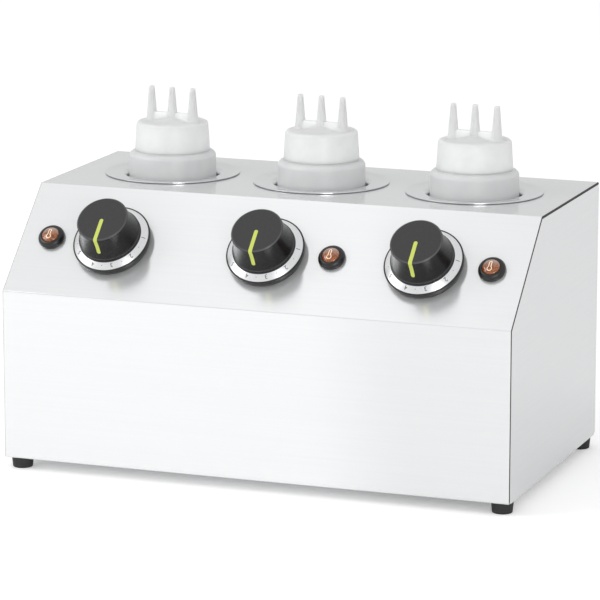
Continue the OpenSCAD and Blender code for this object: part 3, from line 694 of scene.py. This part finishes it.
screw_points = [(x * side, BACK_Y, z) for x, heights in
                ((SCREW_SIDE_X, SIDE_SCREW_Z), (SCREW_MIDDLE_X, MIDDLE_SCREW_Z))
                for side in (-1, 1) for z in heights]
screws = copies(screw_form(), screw_points, finishes["zinc_steel"], tip=-math.pi / 2, spin=math.pi / 2)
make_piece("back_screw_heads", screws, Matrix.Identity(4), finishes["zinc_steel"], "back_screws")

gland_low, gland_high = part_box("cable_gland")
gland_middle = (gland_low + gland_high) / 2
gland_place = Matrix.Translation((gland_middle.x, BACK_Y * MM, gland_middle.z)) \
    @ Matrix.Rotation(-math.pi / 2, 4, "X")
gland = lathe(rounded((4.1, -11), (7.2, -11, 0.3), (9.2, -2.2, 0.4), (9.2, -1), (8.1, -1), (8.1, 0),
                      (11, 0, 0.3), (11, 4.5, 0.8), (9, 6.5, 0.8), (8, 7, 0.4), (4.1, 7, 0.8)), 96,
              closed=True)
make_piece("gland_bushing", gland, gland_place, finishes["black_plastic"], "cable_gland")


# Wells

WELL_R = 40.2
LIP_R = 59
WELL_DEPTH = 200
WELL_WALL = 1
LIP_EDGE = 1.5
LIP_EDGE_T = 0.9
LIP_LOW = 0.35
LIP_ROLL = 4.5


def well_form():
    """Spun cup whose lip rises to a free edge and rolls over into the bore."""
    top = TOP_Z
    floor = top - WELL_DEPTH
    return lathe(rounded(
        (0, floor), (WELL_R, floor, 4), (WELL_R, top + LIP_LOW, LIP_ROLL),
        (LIP_R - 11, top + 0.42), (LIP_R - 7.5, top + 0.62), (LIP_R - 4, top + 0.95),
        (LIP_R - 0.3, top + LIP_EDGE, 0.15), (LIP_R, top + LIP_EDGE - 0.25),
        (LIP_R, top + LIP_EDGE - LIP_EDGE_T), (LIP_R - 3, top),
        (WELL_R + LIP_ROLL, top), (WELL_R + WELL_WALL, top + LIP_LOW - LIP_ROLL),
        (WELL_R + WELL_WALL, floor - WELL_WALL, 4.5), (0, floor - WELL_WALL), steps=10), 160)


# Dials and knobs

DIAL_TOP = 7.6
RING_T = 0.9
RING_IN = 25.4
RING_TOP = 12
RING_OUT = 32.5
BEZEL_R = 33.8
BARREL_R = 23.6
KNOB_R = 22.2
KNOB_H = 36
RIM_R = 1.8
RIM_CUT = 1.35
RIM_DROP = 1.0
UNDERCUT = 0.9
SKIRT_R = 26.8
SKIRT_H = 12.6
STEP_H = SKIRT_H + 1.8
FLARE_H = KNOB_H - RIM_R
KNOB_WALL = 2.2
KNOB_ROOF = 3
BARREL_LOW = 3
BOSS_R = 5.5
BOSS_LOW = 4
SHAFT_BORE_R = 3.04
SHAFT_BORE_TOP = 24.2
POINTER_W = 3.3
POINTER_START = 1.6
POINTER_LOW = 20
DIGIT_RADIUS = 29.2
DIAL_SLOPE = math.atan((RING_TOP - DIAL_TOP) / (RING_OUT - RING_IN))
DIGIT_SIZE = 5.2
SKIRT_SHADE_RADII = (25.6, 27.1)
DIGIT_ANGLES = (86, 126, 162, 195.5, 233)
DOT_ANGLES = (106, 144, 179, 214, 252)


def bezel_form():
    """Moulded ring that carries the dial, with a hollow for the knob's barrel."""
    return lathe(rounded(
        (7, 0), (BEZEL_R - 1.9, 0, 0.3), (BEZEL_R, 4.4, 3), (BEZEL_R, DIAL_TOP, 0.6),
        (RING_OUT + 0.02, DIAL_TOP), (RING_OUT + 0.02, DIAL_TOP - RING_T), (RING_OUT, DIAL_TOP - RING_T),
        (RING_IN, RING_TOP - RING_T), (BARREL_R + 0.9, RING_TOP - RING_T), (BARREL_R + 0.9, 2), (7, 2)),
        160, closed=True)


def dial_form():
    """Dial ring with broken edges, bevelled towards the reader."""
    return lathe(rounded((RING_IN, RING_TOP - RING_T), (RING_OUT, DIAL_TOP - RING_T),
                         (RING_OUT, DIAL_TOP, 0.15), (RING_IN, RING_TOP, 0.15)), 160, closed=True)


def flank_radius(height):
    """Radius of a knob's flank, which flares out towards the skirt."""
    low = (FLARE_H - height) / (FLARE_H - STEP_H)
    return KNOB_R + (SKIRT_R - 0.6 - KNOB_R) * low ** 1.6


def knob_form():
    """Knob shell: chamfered rim, flared flank, undercut skirt, and a barrel that stands in the dial ring."""
    flank = [(flank_radius(h), h) for h in range(15, 34)]
    return lathe(rounded(
        (0, SHAFT_BORE_TOP), (SHAFT_BORE_R, SHAFT_BORE_TOP), (SHAFT_BORE_R, BOSS_LOW), (BOSS_R, BOSS_LOW),
        (BOSS_R, KNOB_H - KNOB_ROOF), (KNOB_R - KNOB_WALL, KNOB_H - KNOB_ROOF),
        (BARREL_R - KNOB_WALL, STEP_H), (BARREL_R - KNOB_WALL, BARREL_LOW),
        (BARREL_R, BARREL_LOW, 0.3), (BARREL_R, SKIRT_H + UNDERCUT),
        (SKIRT_R - 0.15, SKIRT_H + UNDERCUT), (SKIRT_R, SKIRT_H + UNDERCUT + 0.2),
        (SKIRT_R, STEP_H - 0.3, 0.2), (SKIRT_R - 0.6, STEP_H), *flank, (KNOB_R, KNOB_H - RIM_DROP, 0.3),
        (KNOB_R - RIM_CUT, KNOB_H, 0.3), (0, KNOB_H + 0.001), steps=6), 160)


def pointer_form():
    """Lime strip with round ends that runs out over the knob's rim and down its flank."""
    outline = rounded((POINTER_START - POINTER_W / 2, KNOB_H), (KNOB_R - RIM_CUT, KNOB_H, 0.3),
                      (KNOB_R, KNOB_H - RIM_DROP, 0.3),
                      *[(flank_radius(h), h) for h in range(33, POINTER_LOW - 1, -1)], steps=8)
    path = [Vector(outline[0])]
    for point in outline[1:]:
        start = path[-1]
        count = max(1, round((Vector(point) - start).length / 0.35))
        path += [start.lerp(Vector(point), k / count) for k in range(1, count + 1)]
    lengths = [0.0]
    for a, b in zip(path, path[1:]):
        lengths.append(lengths[-1] + (b - a).length)
    half = POINTER_W / 2
    columns = 8
    bm = bmesh.new()
    rows = []
    for k, point in enumerate(path):
        ahead = (path[min(k + 1, len(path) - 1)] - path[max(k - 1, 0)]).normalized()
        out = Vector((-ahead.y, ahead.x))
        left = min(lengths[k], lengths[-1] - lengths[k], half)
        width = math.sqrt(max(half ** 2 - (half - left) ** 2, 0.0004))
        row = []
        for c in range(columns + 1):
            side = 2 * c / columns - 1
            lift = 0.05 + 0.07 * (1 - side ** 4)
            spot = point + out * lift
            row.append(bm.verts.new((side * width, -spot.x, spot.y)))
        for side in (1, -1):
            spot = point - out * 0.7
            row.append(bm.verts.new((side * width, -spot.x, spot.y)))
        rows.append(row)
    for low, high in zip(rows, rows[1:]):
        for c in range(len(low)):
            after = (c + 1) % len(low)
            bm.faces.new((low[c], low[after], high[after], high[c]))
    for row in (rows[0], rows[-1]):
        bm.faces.new(row)
    bmesh.ops.recalc_face_normals(bm, faces=bm.faces)
    return bm


def numeral(text, size, depth):
    """Printed numeral, centred, reading along X."""
    curve = bpy.data.curves.new("numeral", "FONT")
    curve.body = text
    curve.size = size
    curve.align_x = "CENTER"
    curve.align_y = "CENTER"
    curve.extrude = depth / 2
    holder = bpy.data.objects.new("numeral", curve)
    scene.collection.objects.link(holder)
    form = evaluated_form(holder)
    bpy.data.objects.remove(holder)
    bmesh.ops.remove_doubles(form, verts=form.verts, dist=0.001)
    return form


def dial_height(radius):
    """Height of the bevelled dial ring above the panel."""
    return DIAL_TOP + (RING_OUT - radius) * math.tan(DIAL_SLOPE)


def round_the_dial(form, degrees):
    """Lays a form on the bevelled dial ring, clockwise from the top, with its head outwards."""
    turn = Matrix.Rotation(-math.radians(degrees), 4, "Z")
    form.transform(turn @ Matrix.Translation((0, DIGIT_RADIUS, dial_height(DIGIT_RADIUS) + 0.01))
                   @ Matrix.Rotation(-DIAL_SLOPE, 4, "X"))
    return form


def gathered(forms):
    """Several forms as one, left apart."""
    mesh = bpy.data.meshes.new("gathered")
    bm = bmesh.new()
    for form in forms:
        form.to_mesh(mesh)
        form.free()
        bm.from_mesh(mesh)
    return bm


def print_and_shade_form():
    """Numbers of the dial with a dot half-way to the next, and a dark ring round the knob's skirt that is painted
    shade of the gap under the skirt.
    """
    marks = [round_the_dial(numeral(str(k + 1), DIGIT_SIZE, 0.04), angle)
             for k, angle in enumerate(DIGIT_ANGLES)]
    marks += [round_the_dial(lathe(rounded((0, -0.02), (0.32, -0.02), (0.32, 0.02), (0, 0.02)), 16), angle)
              for angle in DOT_ANGLES]
    # painted shade: a dark ring on the dial where the knob's skirt shades it
    line = [(r, dial_height(r) + lift) for lift, radii in ((-0.02, SKIRT_SHADE_RADII), (0.03, SKIRT_SHADE_RADII[::-1]))
            for r in radii]
    return gathered([*marks, lathe(line, 160, closed=True)])


# Pilot lamps

LAMP_R = 11.6
LENS_R = 7.4
LENS_SEAT = 5.6
LENS_RISE = 2.2
BEZEL_RISE = 6
BEZEL_EDGE = 1.6


def lamp_bezel_form():
    """Domed bezel with a barrel through the panel and a seat for the lens."""
    lip = LENS_R + 0.6
    dome = [(lip + (LAMP_R - lip) * math.cos(a), BEZEL_EDGE + (BEZEL_RISE - BEZEL_EDGE) * math.sin(a))
            for a in (math.radians(d) for d in range(0, 80, 8))]
    return lathe(rounded((LAMP_R - 0.4, 0), *dome, (lip, BEZEL_RISE, 0.2), (LENS_R + 0.03, BEZEL_RISE - 0.5),
                         (LENS_R + 0.03, 1), (5.5, 1), (5.5, -24), (8, -24), (8, 0)), 96, closed=True)


def lens_height(radius):
    """Height of the lens's dome above the panel."""
    return LENS_SEAT + LENS_RISE * math.sqrt(max(1 - (radius / LENS_R) ** 2, 0))


def lens_form():
    """Domed lens."""
    dome = [LENS_R * math.sin(math.radians(a)) for a in range(90, -1, -6)]
    return lathe([(0, 1), (LENS_R, 1)] + [(r, lens_height(r)) for r in dome], 96)


def stroke(path, width, closed=False):
    """Printed line of a given width along a path, laid on the lens's dome."""
    bm = bmesh.new()
    count = len(path)
    rails = []
    for k, point in enumerate(path):
        here = Vector(point)
        before = Vector(path[(k - 1) % count if closed else max(k - 1, 0)])
        after = Vector(path[(k + 1) % count if closed else min(k + 1, count - 1)])
        side = (after - before).orthogonal().normalized() * width / 2
        rails.append([here - side, here + side])
    deep = 0.03
    loops = []
    for rail in rails:
        low = [bm.verts.new((p.x, p.y, lens_height(p.length) - deep)) for p in rail]
        high = [bm.verts.new((p.x, p.y, lens_height(p.length) + deep)) for p in rail]
        loops.append([low[0], low[1], high[1], high[0]])
    for k in range(count if closed else count - 1):
        low, high = loops[k], loops[(k + 1) % count]
        for c in range(4):
            bm.faces.new((low[c], low[(c + 1) % 4], high[(c + 1) % 4], high[c]))
    if not closed:
        bm.faces.new(loops[0])
        bm.faces.new(loops[-1])
    bmesh.ops.recalc_face_normals(bm, faces=bm.faces)
    return bm


def thermometer_form():
    """Heat sign of the lamp: the outline of a thermometer."""
    stem = 1.0
    bulb = 1.9
    bulb_y = -2.8
    top_y = 3.3
    join = math.asin(stem / bulb)
    outline = [(bulb * math.sin(a), bulb_y - bulb * math.cos(a))
               for a in [(-math.pi + join) + (2 * math.pi - 2 * join) * k / 24 for k in range(25)]]
    outline += [(stem * math.cos(a), top_y + stem * math.sin(a))
                for a in [math.pi * k / 8 for k in range(9)]]
    dense = []
    for k, point in enumerate(outline):
        after = Vector(outline[(k + 1) % len(outline)])
        gap = (after - Vector(point)).length
        steps = max(1, round(gap / 0.4))
        dense += [tuple(Vector(point).lerp(after, s / steps)) for s in range(steps)]
    shift = Vector((-0.4, 0))
    return stroke([Vector(p) + shift for p in dense], 0.65, closed=True)


# Bottles and caps

BOTTLE_R = 38
BOTTLE_WALL = 1.8
NECK_R = 28.5
NECK_H = 22.5
BOTTLE_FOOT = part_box("bottle_1")[0].z / MM
NECK_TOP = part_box("bottle_1")[1].z / MM
SHOULDER = NECK_TOP - NECK_H
BEAD_R = 32.6
BEAD_H = 1.1
THREAD_RISE = 7
THREAD_TURNS = 1.9


def bottle_form():
    """Blown bottle with a rounded shoulder, a pushed-up foot, and a threaded neck above a low bead."""
    low = BOTTLE_FOOT
    inner = BOTTLE_R - BOTTLE_WALL
    shell = lathe(rounded(
        (0, low + 2.5), (BOTTLE_R - 12, low + 2.5, 1.5), (BOTTLE_R - 9, low, 1.5), (BOTTLE_R, low, 4),
        (BOTTLE_R, SHOULDER, 5), (BEAD_R + 0.3, SHOULDER, 0.1), (BEAD_R, SHOULDER + BEAD_H, 0.2),
        (NECK_R, SHOULDER + BEAD_H, 0.4), (NECK_R, NECK_TOP, 0.4),
        (NECK_R - BOTTLE_WALL, NECK_TOP, 0.4), (NECK_R - BOTTLE_WALL, SHOULDER - BOTTLE_WALL, 1.5),
        (inner, SHOULDER - BOTTLE_WALL, 3.5), (inner, low + BOTTLE_WALL, 3),
        (BOTTLE_R - 8.4, low + BOTTLE_WALL, 1), (BOTTLE_R - 12, low + 2.5 + BOTTLE_WALL, 1),
        (0, low + 2.5 + BOTTLE_WALL), steps=8), 144)
    thread = grown(thread_tree(finishes["bottle_polyethylene"]), bmesh.new(), Radius=NECK_R - 0.1,
                   Rise=THREAD_RISE, Turns=THREAD_TURNS, Ridge=0.75)
    thread.transform(Matrix.Translation((0, 0, SHOULDER + 5)))
    return combined("UNION", shell, thread)


CAP_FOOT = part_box("cap_1")[0].z / MM
CAP_R = 32.75
CAP_TOP_R = 31.2
CAP_H = 25.3
CAP_EDGE_R = 3
SEAL_T = 1.2
DISH = 0.8
DOME_R = 19
DOME_H = 3.2
WEB_H = 6.6
WEB_W = 9
WEB_TOP_W = 5
NOZZLE_PITCH = 20
NOZZLE_H = 28.9
NOZZLE_FOOT_R = 4.9
NOZZLE_TIP_R = 2.4


def dome_rise(radius):
    """Height of the cap's dome above its rim."""
    return -DISH + (DOME_H + DISH) * math.cos(math.pi / 2 * radius / DOME_R) ** 2


def cap_shell_form(roof, under):
    """Tapered cap with a rounded edge and a dome inside a shallow dish."""
    wall_in = NECK_R + 0.8
    radii = [DOME_R * k / 12 for k in range(13)]
    dome = [(r, roof + dome_rise(r)) for r in reversed(radii)]
    hollow = [(r, under + DISH + dome_rise(r)) for r in radii]
    return lathe(rounded(
        (wall_in, CAP_FOOT, 0.2), (CAP_R, CAP_FOOT, 0.3), (CAP_TOP_R, roof, CAP_EDGE_R),
        (CAP_TOP_R - CAP_EDGE_R - 1.2, roof - DISH, 1.5), *dome, *hollow, (wall_in, under, 0.4),
        steps=8), 144)


def web_form(foot, roof):
    """Web between the nozzles, thinner towards its top."""
    bm = bmesh.new()
    half = NOZZLE_PITCH
    outline = [(-WEB_W / 2, foot), (WEB_W / 2, foot), (WEB_TOP_W / 2, roof + WEB_H - 0.6),
               (WEB_TOP_W / 2 - 0.6, roof + WEB_H), (-WEB_TOP_W / 2 + 0.6, roof + WEB_H),
               (-WEB_TOP_W / 2, roof + WEB_H - 0.6)]
    ends = [[bm.verts.new((x, y, z)) for y, z in outline] for x in (-half, half)]
    count = len(outline)
    for k in range(count):
        bm.faces.new((ends[0][k], ends[0][(k + 1) % count], ends[1][(k + 1) % count], ends[1][k]))
    bm.faces.new(ends[0])
    bm.faces.new(ends[1])
    bmesh.ops.recalc_face_normals(bm, faces=bm.faces)
    return bm


def nozzle_form(x, foot, tip):
    """Tapered nozzle with a flared foot."""
    height = tip - foot
    taper = (NOZZLE_FOOT_R - NOZZLE_TIP_R) / height
    flare = 2.2
    side = [(NOZZLE_FOOT_R - taper * h + flare * (1 - h / 3) ** 2 * (h < 3), foot + h)
            for h in (0, 0.5, 1, 1.5, 2, 2.5, 3)]
    form = lathe([(0, foot), *side, *rounded((NOZZLE_FOOT_R - taper * 6, foot + 6),
                                             (NOZZLE_TIP_R, tip, 0.4), (0, tip))], 56)
    form.transform(Matrix.Translation((x, 0, 0)))
    return form


def bore_form(x, low, tip):
    """Bore of a nozzle, which narrows towards the tip."""
    form = lathe([(0, low), (NOZZLE_TIP_R + 0.7, low), (NOZZLE_TIP_R - 1.2, tip + 0.5), (0, tip + 0.5)], 40)
    form.transform(Matrix.Translation((x, 0, 0)))
    return form


def cap_form():
    """Cap with its web and its three bored nozzles, in one moulding."""
    roof = CAP_FOOT + CAP_H
    under = NECK_TOP + SEAL_T
    foot = roof - DISH - 0.4
    tip = roof + NOZZLE_H
    xs = (-NOZZLE_PITCH, 0, NOZZLE_PITCH)
    solid = combined("UNION", cap_shell_form(roof, under), web_form(foot, roof),
                     *[nozzle_form(x, foot, tip) for x in xs])
    return combined("DIFFERENCE", solid, *[bore_form(x, under - 1, tip) for x in xs])


# One set of forms, copied to each unit

masters = {
    "well": (well_form(), well_place, 32),
    "dial_bezel": (bezel_form(), knob_place, 32),
    "dial_ring": (dial_form(), knob_place, 32),
    "knob": (knob_form(), knob_place, 40),
    "pointer": (pointer_form(), knob_place, 50),
    "lamp_bezel": (lamp_bezel_form(), lamp_place, 32),
    "lamp_lens": (lens_form(), lamp_place, 50),
    "bottle": (bottle_form(), well_place, 50),
    "cap": (cap_form(), cap_place, 40),
}
for kind, (master, place, angle) in masters.items():
    for unit in UNITS:
        node = f"{kind}_{unit}"
        make_piece(node + "_part", master.copy(), place(unit), finishes[slot_of[node]], node, angle)
    master.free()

for unit in UNITS:
    make_piece(f"dial_numbers_{unit}", print_and_shade_form(), knob_place(unit), dial_ink_and_shade, f"dial_ring_{unit}",
               stands_for=False)
    make_piece(f"heat_sign_{unit}", thermometer_form(), lamp_place(unit), lens_print,
               f"lamp_lens_{unit}", stands_for=False)


# Floor, light and camera

FLOOR_LIFT = 0.25
GLOSS_LIFT = 0.06
CARD_LIFT = 0.27
SKY_FRONT = 1.0
SKY_BACK = 0.92
SOFT_BOX = 0.5
SOFT_BOX_X = -0.337
SOFT_BOX_WIDE = 0.1


def make_floor():
    """White paper sweep. The camera sees it white, and gloss sees it brighter towards the front left,
    from a painted light: a glow there that only reflections see."""
    mesh = bpy.data.meshes.new("floor")
    bm = bmesh.new()
    bmesh.ops.create_grid(bm, x_segments=8, y_segments=8, size=14)
    bm.to_mesh(mesh)
    bm.free()
    material = bpy.data.materials.new("white paper sweep")
    material.use_nodes = True
    tree = material.node_tree
    tree.nodes.clear()
    coords = add(tree, "ShaderNodeTexCoord").outputs["Object"]
    fibres = ramp(tree, noise(tree, coords, 400, 1), (0.3, "#F4F4F4"), (0.7, "#F7F7F7"))
    paper = add(tree, "ShaderNodeBsdfDiffuse", links={"Color": fibres})
    path = add(tree, "ShaderNodeLightPath").outputs
    seen = add(tree, "ShaderNodeMath", links={0: path["Is Camera Ray"], 1: path["Is Transmission Ray"]},
               operation="MAXIMUM")
    # painted light: a glow towards the front left that only glossy rays see, standing in for a light card
    spot = add(tree, "ShaderNodeVectorMath", {1: (1, -0.371, 0)}, {0: coords}, operation="DOT_PRODUCT")
    card = add(tree, "ShaderNodeMapRange", {"From Min": 0.2, "From Max": 0.09, "To Min": GLOSS_LIFT,
                                            "To Max": CARD_LIFT},
               {"Value": spot.outputs["Value"]}, interpolation_type="SMOOTHSTEP")
    deep = add(tree, "ShaderNodeSeparateXYZ", links={"Vector": coords}).outputs["Y"]
    front = add(tree, "ShaderNodeMapRange", {"From Min": 0.0, "From Max": -0.15}, {"Value": deep},
                interpolation_type="SMOOTHSTEP")
    card = add(tree, "ShaderNodeMath", links={0: card.outputs[0], 1: front.outputs[0]}, operation="MULTIPLY")
    gloss = add(tree, "ShaderNodeMath", links={0: path["Is Glossy Ray"], 1: card.outputs[0]},
                operation="MULTIPLY")
    lift = add(tree, "ShaderNodeMath", {1: FLOOR_LIFT}, {0: seen.outputs[0], 2: gloss.outputs[0]},
               operation="MULTIPLY_ADD")
    glow = add(tree, "ShaderNodeEmission", links={"Strength": lift.outputs[0]})
    both = add(tree, "ShaderNodeAddShader", links={0: paper.outputs[0], 1: glow.outputs[0]})
    add(tree, "ShaderNodeOutputMaterial", links={"Surface": both.outputs[0]})
    mesh.materials.append(material)
    floor = bpy.data.objects.new("floor", mesh)
    scene.collection.objects.link(floor)


def make_world():
    """Soft white studio with a brighter strip overhead and a light grey wall behind the object."""
    world = bpy.data.worlds.new("studio")
    scene.world = world
    world.use_nodes = True
    tree = world.node_tree
    tree.nodes.clear()
    way = add(tree, "ShaderNodeTexCoord").outputs["Generated"]
    split = add(tree, "ShaderNodeSeparateXYZ", links={"Vector": way}).outputs
    behind = add(tree, "ShaderNodeMapRange", {"From Min": 0.0, "From Max": 0.8}, {"Value": split["Y"]},
                 interpolation_type="SMOOTHSTEP")
    low = add(tree, "ShaderNodeMapRange", {"From Min": 0.75, "From Max": 0.3}, {"Value": split["Z"]},
              interpolation_type="SMOOTHSTEP")
    wall = add(tree, "ShaderNodeMath", links={0: behind.outputs[0], 1: low.outputs[0]}, operation="MULTIPLY")
    aside = add(tree, "ShaderNodeMath", {1: SOFT_BOX_X}, {0: split["X"]}, operation="SUBTRACT")
    aside = add(tree, "ShaderNodeMath", links={0: aside.outputs[0]}, operation="ABSOLUTE")
    strip = add(tree, "ShaderNodeMapRange", {"From Min": SOFT_BOX_WIDE, "From Max": 0.0, "To Max": SOFT_BOX},
                {"Value": aside.outputs[0]}, interpolation_type="SMOOTHSTEP")
    high = add(tree, "ShaderNodeMapRange", {"From Min": 0.6, "From Max": 0.85}, {"Value": split["Z"]},
               interpolation_type="SMOOTHSTEP")
    level = add(tree, "ShaderNodeMath", links={0: strip.outputs[0], 1: high.outputs[0],
                                               2: span(tree, wall.outputs[0], SKY_FRONT, SKY_BACK)},
                operation="MULTIPLY_ADD")
    light = add(tree, "ShaderNodeBackground", links={"Strength": level.outputs[0]})
    add(tree, "ShaderNodeOutputWorld", links={"Surface": light.outputs[0]})


def make_lamp(name, place, aim, size, watts):
    """Soft box at place, turned towards aim."""
    data = bpy.data.lights.new(name, "AREA")
    data.shape = "RECTANGLE"
    data.size, data.size_y = size
    data.energy = watts
    lamp = bpy.data.objects.new(name, data)
    scene.collection.objects.link(lamp)
    lamp.location = place
    lamp.rotation_euler = (Vector(aim) - Vector(place)).to_track_quat("-Z", "Y").to_euler()


CAMERA_AZIMUTH = math.radians(20.311)
CAMERA_ELEVATION = math.radians(12.149)
CAMERA_TARGET = Vector((0.008364, -0.036, 0.145803))
CAMERA_DISTANCE = 3.181
CAMERA_LENS = 224.7


def make_camera():
    """Long lens at the photograph's angle."""
    data = bpy.data.cameras.new("camera")
    data.lens = CAMERA_LENS
    data.sensor_width = 36
    data.clip_end = 50
    camera = bpy.data.objects.new("camera", data)
    scene.collection.objects.link(camera)
    back = Vector((math.sin(CAMERA_AZIMUTH) * math.cos(CAMERA_ELEVATION),
                   -math.cos(CAMERA_AZIMUTH) * math.cos(CAMERA_ELEVATION), math.sin(CAMERA_ELEVATION)))
    camera.location = CAMERA_TARGET + back * CAMERA_DISTANCE
    camera.rotation_euler = (-back).to_track_quat("-Z", "Y").to_euler()
    scene.camera = camera


make_floor()
make_world()
make_lamp("key", (-2.0, -1.3, 1.8), (0, 0, 0.1), (1.2, 1.6), 20)
make_lamp("fill", (1.2, -2.1, 0.6), (0, 0, 0.15), (0.7, 1.1), 12)
make_camera()
scene.view_settings.view_transform = "Standard"
